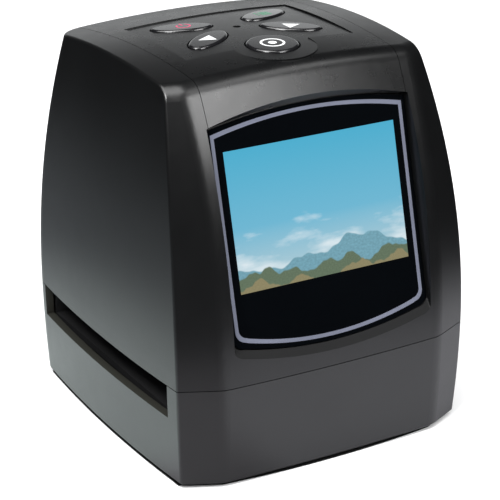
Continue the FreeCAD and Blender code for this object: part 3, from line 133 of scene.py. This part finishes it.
def add_range(tree, value, low, high, to_low=0.0, to_high=1.0):
    """A value remapped from one range to another, and held inside it."""
    node = tree.nodes.new("ShaderNodeMapRange")
    for name, number in zip(("From Min", "From Max", "To Min", "To Max"), (low, high, to_low, to_high)):
        node.inputs[name].default_value = number
    tree.links.new(value, node.inputs["Value"])
    return node.outputs["Result"]


def add_mix(tree, factor, first, second):
    """Two colours, or colour outputs, mixed by a factor."""
    node = tree.nodes.new("ShaderNodeMix")
    node.data_type = "RGBA"
    for socket, value in zip((node.inputs[6], node.inputs[7]), (first, second)):
        if isinstance(value, tuple):
            socket.default_value = (*value, 1.0)
        else:
            tree.links.new(value, socket)
    tree.links.new(factor, node.inputs[0])
    return node.outputs[2]


def add_maths(tree, operation, first, second):
    """Two values worked together."""
    node = tree.nodes.new("ShaderNodeMath")
    node.operation = operation
    for socket, value in zip(node.inputs, (first, second)):
        tree.links.new(value, socket)
    return node.outputs[0]


def add_split(tree, vector, axis):
    """One part of a vector."""
    split = tree.nodes.new("ShaderNodeSeparateXYZ")
    tree.links.new(vector, split.inputs["Vector"])
    return split.outputs[axis]


def surface(name, colour, roughness, worn=None, grain=None, mottle=0.12, metallic=0.0, level=0.5, coat=0.0):
    """A finish: a mottled colour, uneven gloss, a fine grain in relief and a few rubbed places.

    grain is the relief's (cycles per metre, height in metres); worn is the colour of rubbed places.
    """
    material, tree, shader, place = new_material(name)
    shader.inputs["Metallic"].default_value = metallic
    shader.inputs["Specular IOR Level"].default_value = level
    shader.inputs["Coat Weight"].default_value = coat
    darker = tuple(part * (1 - mottle) for part in colour)
    lighter = tuple(min(part * (1 + mottle), 1.0) for part in colour)
    cloud = add_noise(tree, place, CLOUD_SCALE)
    tone = add_mix(tree, add_range(tree, cloud, 0.35, 0.65), darker, lighter)
    if worn:
        rubbed = add_range(tree, add_noise(tree, place, RUB_SCALE, 8.0), 0.66, 0.74, 0.0, 0.5)
        tone = add_mix(tree, rubbed, tone, worn)
    tree.links.new(tone, shader.inputs["Base Color"])
    low, high = (roughness * swing for swing in GLOSS_SWING)
    gloss = add_range(tree, add_noise(tree, place, GLOSS_SCALE, 3.0), 0.3, 0.7, low, high)
    tree.links.new(gloss, shader.inputs["Roughness"])
    if grain:
        bump = tree.nodes.new("ShaderNodeBump")
        bump.inputs["Strength"].default_value = 1.0
        bump.inputs["Distance"].default_value = grain[1]
        tree.links.new(add_noise(tree, place, grain[0], 2.0), bump.inputs["Height"])
        tree.links.new(bump.outputs["Normal"], shader.inputs["Normal"])
    return material


def metal(name, colour, roughness, worn, grain, mottle=0.08):
    """A bare metal finish."""
    return surface(name, colour, roughness, worn, grain, mottle, metallic=1.0)


def facing_share(tree, axis, low, high):
    """From 0 where the surface's normal along an axis is low to 1 where it is high."""
    normal = tree.nodes.new("ShaderNodeNewGeometry").outputs["Normal"]
    return add_range(tree, add_split(tree, normal, axis), low, high)


def place_share(tree, axis, low, high):
    """From 0 where the place along an axis is low to 1 where it is high."""
    place = tree.nodes.new("ShaderNodeTexCoord").outputs["Object"]
    return add_range(tree, add_split(tree, place, axis), low, high)


def change_zone(material, share, roughness, colour=None):
    """Another gloss, and another colour, where a share of the material's own tree says."""
    tree = material.node_tree
    shader = find_shader(tree)
    changes = [("Roughness", (roughness,) * 3)] + ([("Base Color", colour)] if colour else [])
    for name, value in changes:
        before = shader.inputs[name].links[0].from_socket
        tree.links.new(add_mix(tree, share, before, value), shader.inputs[name])


# The screen's picture. Each slope: its height, how many rises, their swing, its colour, and which stretch
# of the noise it takes. Heights are shares of the picture's own.
HAZE = (0.45, 0.6, 0.65)
SKY_MIDDLE = (0.15, 0.46, 0.63)
SKY_TOP = (0.06, 0.405, 0.6)
CLOUD = (0.78, 0.85, 0.88)
SLOPES = (
    (0.17, 2.2, 0.2, (0.1, 0.22, 0.27), 0.0),
    (0.1, 3.6, 0.16, (0.07, 0.1, 0.06), 5.0),
    (0.02, 5.0, 0.13, (0.16, 0.14, 0.07), 9.0),
)
SLOPE_EDGE = (-0.004, 0.006)


def picture_material():
    """The screen's picture: a clear sky with a bank of cloud over low hills, and light of its own."""
    material, tree, shader, _ = new_material("screen_picture")
    flat = tree.nodes.new("ShaderNodeUVMap").outputs["UV"]
    across, up = add_split(tree, flat, "X"), add_split(tree, flat, "Y")
    haze = add_mix(tree, add_range(tree, up, 0.02, 0.45), HAZE, SKY_MIDDLE)
    picture = add_mix(tree, add_range(tree, up, 0.4, 1.0), haze, SKY_TOP)
    puffs = add_noise(tree, flat, 3.4, 9.0, (1.0, 2.1, 1.0))
    bank = add_maths(tree, "ADD", puffs, add_range(tree, up, 0.15, 0.75, 0.12, -0.3))
    picture = add_mix(tree, add_range(tree, bank, 0.5, 0.72, 0.0, 0.8), picture, CLOUD)
    for level, scale, swing, colour, shift in SLOPES:
        line = tree.nodes.new("ShaderNodeCombineXYZ")
        line.inputs["Y"].default_value = shift
        tree.links.new(across, line.inputs["X"])
        rises = add_noise(tree, line.outputs[0], scale, 3.0)
        ridge = add_range(tree, rises, 0.2, 0.8, level - swing, level + swing)
        lit = tuple(min(1.0, part * 2.1) for part in colour)
        tufts = add_mix(tree, add_noise(tree, flat, 30.0 * scale), colour, lit)
        below = add_range(tree, add_maths(tree, "SUBTRACT", ridge, up), *SLOPE_EDGE)
        picture = add_mix(tree, below, picture, tufts)
    shader.inputs["Base Color"].default_value = (0.01, 0.01, 0.012, 1.0)
    shader.inputs["Roughness"].default_value = 0.2
    shader.inputs["Specular IOR Level"].default_value = 0.12
    tree.links.new(picture, shader.inputs["Emission Color"])
    shader.inputs["Emission Strength"].default_value = 1.0
    return material


CASING_GRAIN = (5000.0, 0.000012)
CASING_BLACK = (0.004, 0.0042, 0.0045)
TRAY_BLACK = (0.006, 0.0063, 0.0066)
KEY_GRAIN = (3000.0, 0.000004)
FINISHES = {
    "upper_casing": surface("casing_upper", CASING_BLACK, 0.29, grain=CASING_GRAIN, level=0.6),
    "lower_casing": surface("casing_lower", TRAY_BLACK, 0.29, grain=CASING_GRAIN, level=0.65),
    "panel": surface("casing_panel", CASING_BLACK, 0.28, grain=CASING_GRAIN, level=0.6),
    "window": surface("window_gloss", (0.0014, 0.0018, 0.0024), 0.08, mottle=0.05, level=0.08),
    "keys": surface("key_gloss", (0.008, 0.008, 0.009), 0.2, (0.02, 0.02, 0.022), KEY_GRAIN, coat=0.6),
    "switch_plungers": surface("plunger_plastic", (0.7, 0.7, 0.67), 0.4, grain=(1500.0, 0.00001)),
    "switches": surface("switch_plastic", (0.04, 0.04, 0.042), 0.5, grain=(1500.0, 0.00002)),
    "light_pipe": surface("light_pipe", (0.006, 0.006, 0.006), 0.4, grain=(900.0, 0.00001), level=0.2),
    "boards": surface("board_green", (0.02, 0.13, 0.06), 0.35, (0.05, 0.2, 0.1), (800.0, 0.00003)),
    "display": surface("display_glass", (0.02, 0.022, 0.026), 0.15, grain=(500.0, 0.000005)),
    "bracket": metal("bracket_steel", (0.55, 0.56, 0.58), 0.32, (0.4, 0.4, 0.41), (1800.0, 0.00001)),
    "screws": metal("screw_steel", (0.4, 0.4, 0.42), 0.3, (0.55, 0.55, 0.56), (1800.0, 0.00001), 0.1),
    "film_guides": surface("guide_black", (0.012, 0.012, 0.013), 0.6, (0.03, 0.03, 0.03), (1800.0, 0.00003)),
    "lens_mouldings": surface("lens_black", (0.012, 0.012, 0.013), 0.55, grain=(1800.0, 0.00002)),
    "lenses": surface("lens_glass", (0.5, 0.55, 0.6), 0.05, coat=0.5, grain=(300.0, 0.000001)),
    "filter": surface("filter_glass", (0.35, 0.6, 0.55), 0.08, coat=0.5, grain=(300.0, 0.000001)),
    "chips": surface("chip_black", (0.02, 0.02, 0.022), 0.5, (0.06, 0.06, 0.06), (1200.0, 0.00002)),
    "lights": surface("led_white", (0.85, 0.82, 0.6), 0.25, grain=(900.0, 0.00001)),
    "white_box": surface("box_white", (0.82, 0.82, 0.82), 0.5, grain=(1200.0, 0.00002)),
    "diffuser": surface("diffuser_white", (0.8, 0.81, 0.83), 0.5, grain=(1500.0, 0.00002)),
    "socket_metal": metal("socket_steel", (0.6, 0.61, 0.63), 0.28, (0.45, 0.45, 0.46), (1200.0, 0.00001)),
    "socket_plastic": surface("socket_black", (0.02, 0.02, 0.022), 0.45, grain=(1200.0, 0.00002)),
    "connectors": surface("connector_cream", (0.75, 0.72, 0.62), 0.45, grain=(1200.0, 0.00002)),
    "ribbons": surface("ribbon_film", (0.42, 0.2, 0.04), 0.25, (0.5, 0.3, 0.1), (700.0, 0.00001)),
    "feet": surface("foot_rubber", (0.025, 0.025, 0.026), 0.7, (0.06, 0.06, 0.06), (1500.0, 0.00004)),
}

# The window's sill on the upper casing is matt
upper_tree = FINISHES["upper_casing"].node_tree
sill_facing = facing_share(upper_tree, "Z", *SILL_LEAN)
sill = add_maths(upper_tree, "MULTIPLY", sill_facing, place_share(upper_tree, "Z", *SILL_BELOW))
change_zone(FINISHES["upper_casing"], sill, SILL_ROUGHNESS)

# The tray's faces in the slot are duller than its outside, and painted lighter where they face up or
# forward:
# painted light
lower_tree = FINISHES["lower_casing"].node_tree
slot_floor = facing_share(lower_tree, "Z", *SLOT_FLOOR_LEAN)
slot_faces = add_maths(lower_tree, "MAXIMUM", slot_floor, facing_share(lower_tree, "Y", *SLOT_FRONT_LEAN))
slot_faces = add_maths(lower_tree, "MULTIPLY", slot_faces, place_share(lower_tree, "Y", *SLOT_BEHIND))
change_zone(FINISHES["lower_casing"], slot_faces, SLOT_ROUGHNESS, SLOT_LIT_COLOUR)

for row in frame["record"]["subparts"]:
    node = nodes[row["node"]]
    node.data.materials.clear()
    node.data.materials.append(FINISHES[row["material_slot"]])


# Pieces


def new_mesh(name, points, faces, material):
    """An object with a mesh from points in millimetres."""
    data = bpy.data.meshes.new(name)
    data.from_pydata([Vector(spot) * MM for spot in points], [], faces)
    item = bpy.data.objects.new(name, data)
    scene.collection.objects.link(item)
    data.materials.append(material)
    return item


def mesh_piece(name, points, faces, material, body):
    """A mesh that rides on a body."""
    item = new_mesh(name, points, faces, material)
    item.data.validate()
    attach(item, body)
    return item


def on_screen(across, up, out):
    """A point in the screen's tilted frame."""
    y = SCREEN_Y + up * math.sin(SCREEN_TILT) - out * math.cos(SCREEN_TILT)
    z = SCREEN_Z + up * math.cos(SCREEN_TILT) + out * math.sin(SCREEN_TILT)
    return across, y, z


def bow(half, side, middle):
    """Points of a shallow arch from -half to half, at height side at the ends and middle at the centre."""
    rise = middle - side
    radius = (half * half + rise * rise) / (2 * rise)
    spots = []
    for index in range(BOW_STEPS + 1):
        x = half * (2 * index / BOW_STEPS - 1)
        spots.append((x, middle - radius + math.sqrt(radius * radius - x * x)))
    return spots


def window_outline(half, top, crown, low, keel, corner):
    """The window's outline: a bowed top with sharp corners and a bowed bottom with rounded ones."""
    run = half - corner
    turn_y = corner * (1 - TURN_DROP) - low
    turns = []
    for index in range(1, TURN_STEPS):
        angle = math.radians(90.0 * index / TURN_STEPS)
        turns.append((run + corner * math.cos(angle), turn_y - corner * math.sin(angle)))
    belly = [(-x, -y) for x, y in bow(run, low + corner * BELLY_DROP, keel)]
    return bow(half, top, crown) + turns + belly + [(-x, y) for x, y in turns[::-1]]


def band(name, outer, inner, lift, material, body, slot):
    """A flat ring between two outlines on the window."""
    count = len(outer)
    points = [on_screen(x, y, lift) for x, y in outer + inner]
    faces = [(i, (i + 1) % count, count + (i + 1) % count, count + i) for i in range(count)]
    mesh_piece(name, points, faces, material, body)


line_material = surface("window_line", (0.13, 0.14, 0.185), 0.35, mottle=0.08, level=0.2)
inner_line = {key: value - LINE_WIDTH for key, value in LINE_OUTLINE.items()}
inner_line["corner"] = LINE_OUTLINE["corner"] - LINE_WIDTH * CORNER_SHRINK
line_edges = window_outline(**LINE_OUTLINE), window_outline(**inner_line)
band("window_line", *line_edges, PRINT_LIFT, line_material, "housing", "window")

corners = ((-1, PICTURE_LOW), (1, PICTURE_LOW), (1, PICTURE_HIGH), (-1, PICTURE_HIGH))
picture_points = [on_screen(side * PICTURE_HALF, up, PRINT_LIFT) for side, up in corners]
picture = mesh_piece(
    "screen_picture", picture_points, [(0, 1, 2, 3)], picture_material(), "housing"
)
uv_layer = picture.data.uv_layers.new(name="picture")
for loop, uv in zip(uv_layer.data, ((0, 0), (1, 0), (1, 1), (0, 1))):
    loop.uv = uv


# Marks on the keys


def key_surface(x, y):
    """A point just over the face of a key."""
    along = math.sqrt(PAD_RADIUS**2 - (y - PAD_PEAK_Y) ** 2) - PAD_RADIUS
    axis_height = ROOF_HEIGHT - PAD_CROSS_RADIUS
    crown = PAD_CROWN + along - axis_height
    z = axis_height + math.sqrt(crown**2 - x**2)
    return x, y, z + KEY_PROUD + MARK_LIFT


def mark(name, key, centre, turn, polygons, material):
    """Flat shapes laid over a key's face. Each polygon is a list of points about the mark's centre."""
    points, faces = [], []
    c, s = math.cos(math.radians(turn)), math.sin(math.radians(turn))
    for polygon in polygons:
        first = len(points)
        points += [key_surface(centre[0] + x * c - y * s, centre[1] + x * s + y * c) for x, y in polygon]
        faces.append(tuple(range(first, first + len(polygon))))
    mesh_piece(name, points, faces, material, f"{key}_key")


def arc_strip(radius, width, start, end, steps=28):
    """A ring, or part of one, as quads."""
    inner, outer = radius - width / 2, radius + width / 2
    angles = [math.radians(start + (end - start) * index / steps) for index in range(steps + 1)]
    quads = []
    for first, second in zip(angles, angles[1:]):
        ends = ((inner, first), (outer, first), (outer, second), (inner, second))
        quads.append([(reach * math.cos(angle), reach * math.sin(angle)) for reach, angle in ends])
    return quads


def bar(width, height, x=0.0, y=0.0):
    """A small rectangle about a point."""
    left, right = x - width / 2, x + width / 2
    low, high = y - height / 2, y + height / 2
    return [(left, low), (right, low), (right, high), (left, high)]


white_print = surface("print_white", (0.75, 0.76, 0.76), 0.5, mottle=0.05)
red_print = surface("print_red", (0.5, 0.07, 0.14), 0.5, mottle=0.05)
green_print = surface("print_green", (0.045, 0.27, 0.14), 0.5, mottle=0.05)

# The signs, each about its own centre: a broken ring with a stroke, a list, an arrow and a ringed dot
power_sign = [*arc_strip(1.75, 0.5, 125, 415), bar(0.5, 1.9, 0, 1.5)]
list_sign = []
for row_height in (-1.15, 0.0, 1.15):
    list_sign += [bar(0.6, 0.55, -1.9, row_height), bar(3.0, 0.55, 0.5, row_height)]
arrow_sign = [[(2.8, 0.0), (-1.4, 2.15), (-1.4, -2.15)]]
scan_sign = [*arc_strip(2.9, 0.6, 0, 360, 48), *arc_strip(0.55, 1.1, 0, 360, 24)]
mark("power_mark", "power", (-PETAL_X + 0.5, UPPER_Y), 0, power_sign, red_print)
mark("menu_mark", "menu", (PETAL_X, UPPER_Y), 0, list_sign, green_print)
mark("left_mark", "left", (-PETAL_X, LOWER_Y), 180, arrow_sign, white_print)
mark("right_mark", "right", (PETAL_X, LOWER_Y), 0, arrow_sign, white_print)
mark("scan_mark", "scan", (0.0, SCAN_Y), 0, scan_sign, white_print)


# Studio. The camera sees a white floor and sky. Gloss sees painted reflections: a floor painted to darken
# away from the scanner, with painted tones at its left side, its front and its left front corner, and a dark
# sky with one painted light field. These painted tones stand in for the studio's light and shade. Tones are
# linear, fades are distances from the scanner's middle in metres, and headings are an azimuth, an elevation,
# and the degrees at which a share starts to fall and ends.

FLOOR_SIZE = 6000.0
WHITE = (1.0, 1.0, 1.0)
DARK = (0.01, 0.01, 0.01)
FLOOR_TONE = (0.78, 0.78, 0.78)
# Painted light and shade on the floor, seen only in gloss: near the scanner's left side, its front and its
# corner
SIDE_NEAR = (0.74, 0.82, 0.81)
SIDE_NEAR_FADE = (0.07, 0.16)
SIDE_MIDDLE = (0.17, 0.185, 0.195)
SIDE_FADE = (0.18, 0.5)
SIDE_HEADING = (-115, 0, 46, 64)
FRONT_NEAR = (0.55, 0.55, 0.58)
FRONT_FADE = (0.12, 0.2)
CORNER_NEAR = (0.33, 0.32, 0.34)
CORNER_FADE = (0.11, 0.18)
CORNER_HEADING = (-35, 0, 8, 22)
SKY_TONE = (0.55, 0.55, 0.56)
# A painted light field in the sky, seen only in gloss: a painted reflection
SKY_FIELD = (0.9, 0.92, 0.93)
SKY_FIELD_HEADING = (150, -14, 21, 39)
SEEN_RAYS = ("Is Camera Ray", "Is Transmission Ray")

# Painted contact shadow: a dark sheet on the floor, outlined as the right half of the casing's foot, as
# bowed walls and straight facets
SHADE_LIFT = 0.02
FOOT_FRONT_Y = -43.7
FOOT_FRONT_BOW = 514
FOOT_SIDE_X = 42.6
FOOT_SIDE_PEAK_Y = 2.1
FOOT_SIDE_BOW = 900
FOOT_NOSE = [(31.1, -41.8), (41.0, -36.8)]
FOOT_BACK = [(39.4, 42.0), (35.0, 44.4), (0, 44.6)]
FOOT_FRONT_XS = range(0, 32, 4)
FOOT_SIDE_YS = range(-34, 39, 4)

# Lamps: azimuth, elevation, distance, width, height and power
LAMP_AIM = (0, 0, 50)
SOFTBOXES = {
    "top_softbox": (-90, 72, 1100, 900, 900, 12),
    "front_softbox": (17, 36, 700, 270, 290, 2.3),
    "roof_softbox": (46, 60, 700, 380, 200, 0.7),
    "side_softbox": (-60, 50, 600, 180, 180, 2.0),
}


def heading(azimuth, elevation):
    """A direction from its angles. Azimuth 0 is the front, and the right side is at 90."""
    a, e = math.radians(azimuth), math.radians(elevation)
    return Vector((math.sin(a) * math.cos(e), -math.cos(a) * math.cos(e), math.sin(e)))


def ray_share(tree, names):
    """1 for rays of the named kinds and 0 for the rest."""
    path = tree.nodes.new("ShaderNodeLightPath")
    share = path.outputs[names[0]]
    for name in names[1:]:
        share = add_maths(tree, "MAXIMUM", share, path.outputs[name])
    return share


def toward_share(tree, direction, azimuth, elevation, inner, outer):
    """1 where a direction lies within inner degrees of a heading, falling to 0 at outer degrees."""
    dot = tree.nodes.new("ShaderNodeVectorMath")
    dot.operation = "DOT_PRODUCT"
    tree.links.new(direction, dot.inputs[0])
    dot.inputs[1].default_value = heading(azimuth, elevation)
    near, far = math.cos(math.radians(inner)), math.cos(math.radians(outer))
    return add_range(tree, dot.outputs["Value"], far, near)


def add_vector_maths(tree, operation, vector, output):
    """One vector worked on alone."""
    node = tree.nodes.new("ShaderNodeVectorMath")
    node.operation = operation
    tree.links.new(vector, node.inputs[0])
    return node.outputs[output]


def stage_tone(tree, gloss_tone, other_tone):
    """White where it is seen, a painted tone for gloss to reflect and another for the light that bounces off
    it.
    """
    tone = add_mix(tree, ray_share(tree, ["Is Glossy Ray"]), other_tone, gloss_tone)
    return add_mix(tree, ray_share(tree, SEEN_RAYS), tone, WHITE)


def plane(name, corners_in_mm, material):
    """A flat stage piece."""
    new_mesh(name, corners_in_mm, [tuple(range(len(corners_in_mm)))], material)


floor_material, floor_tree, floor_shader, floor_place = new_material("floor_white")
floor_shader.inputs["Roughness"].default_value = 1.0
floor_shader.inputs["Specular IOR Level"].default_value = 0.0
# The floor's tones for gloss are painted reflections: painted light near the scanner, painted shade further
# away
away = add_vector_maths(floor_tree, "LENGTH", floor_place, "Value")
around = add_vector_maths(floor_tree, "NORMALIZE", floor_place, "Vector")
side_tone = add_mix(floor_tree, add_range(floor_tree, away, *SIDE_NEAR_FADE), SIDE_NEAR, SIDE_MIDDLE)
side_tone = add_mix(floor_tree, add_range(floor_tree, away, *SIDE_FADE), side_tone, DARK)
front_tone = add_mix(floor_tree, add_range(floor_tree, away, *FRONT_FADE), FRONT_NEAR, DARK)
corner_tone = add_mix(floor_tree, add_range(floor_tree, away, *CORNER_FADE), CORNER_NEAR, DARK)
painted_floor_reflection = add_mix(floor_tree, toward_share(floor_tree, around, *SIDE_HEADING), front_tone, side_tone)
corner_share = toward_share(floor_tree, around, *CORNER_HEADING)
painted_floor_reflection = add_mix(floor_tree, corner_share, painted_floor_reflection, corner_tone)
floor_tone = stage_tone(floor_tree, painted_floor_reflection, FLOOR_TONE)
floor_tree.links.new(floor_tone, floor_shader.inputs["Base Color"])
floor_turns = ((-1, -1), (1, -1), (1, 1), (-1, 1))
plane("floor", [(x * FLOOR_SIZE, y * FLOOR_SIZE, 0) for x, y in floor_turns], floor_material)

# A dark sheet under the casing's foot: a painted contact shadow
shade_material, _, shade_shader, _ = new_material("contact_shade")
shade_shader.inputs["Base Color"].default_value = (*DARK, 1.0)
shade_shader.inputs["Roughness"].default_value = 0.9
foot = [(x, FOOT_FRONT_Y + x * x / FOOT_FRONT_BOW) for x in FOOT_FRONT_XS] + FOOT_NOSE
foot += [(FOOT_SIDE_X - (y - FOOT_SIDE_PEAK_Y) ** 2 / FOOT_SIDE_BOW, y) for y in FOOT_SIDE_YS] + FOOT_BACK
foot += [(-x, y) for x, y in foot[-2:0:-1]]
plane("contact_shade", [(x, y, SHADE_LIFT) for x, y in foot], shade_material)

world = bpy.data.worlds.new("studio")
scene.world = world
world.use_nodes = True
sky_tree = world.node_tree
background = next(node for node in sky_tree.nodes if node.type == "BACKGROUND")
direction = sky_tree.nodes.new("ShaderNodeTexCoord").outputs["Generated"]
# The sky's tone for gloss: dark, with one painted light field that shows as a painted reflection
painted_sky_reflection = add_mix(sky_tree, toward_share(sky_tree, direction, *SKY_FIELD_HEADING), DARK, SKY_FIELD)
sky_tree.links.new(stage_tone(sky_tree, painted_sky_reflection, SKY_TONE), background.inputs["Color"])
background.inputs["Strength"].default_value = 1.0
# Sampled as a light, the world would show gloss its other tone
world.cycles.sampling_method = "NONE"


def softbox(name, azimuth, elevation, distance, width, height, power):
    """An area lamp that aims at the object."""
    data = bpy.data.lights.new(name, "AREA")
    data.shape = "RECTANGLE"
    data.size = width * MM
    data.size_y = height * MM
    data.energy = power
    item = bpy.data.objects.new(name, data)
    scene.collection.objects.link(item)
    outwards = heading(azimuth, elevation)
    item.location = Vector(LAMP_AIM) * MM + outwards * distance * MM
    item.rotation_mode = "QUATERNION"
    item.rotation_quaternion = outwards.to_track_quat("Z", "Y")


for lamp, numbers in SOFTBOXES.items():
    softbox(lamp, *numbers)


# Camera

toward = heading(CAMERA_AZIMUTH, CAMERA_ELEVATION)
camera_data = bpy.data.cameras.new("camera")
camera_data.lens = CAMERA_LENS
camera_data.sensor_width = CAMERA_SENSOR
camera_data.clip_start = CLIP_START
camera_data.clip_end = CLIP_END
camera = bpy.data.objects.new("camera", camera_data)
scene.collection.objects.link(camera)
camera.location = Vector(AIM) * MM + toward * CAMERA_DISTANCE * MM
camera.rotation_mode = "QUATERNION"
camera.rotation_quaternion = toward.to_track_quat("Z", "Y")
scene.camera = camera

scene.view_settings.view_transform = "Standard"
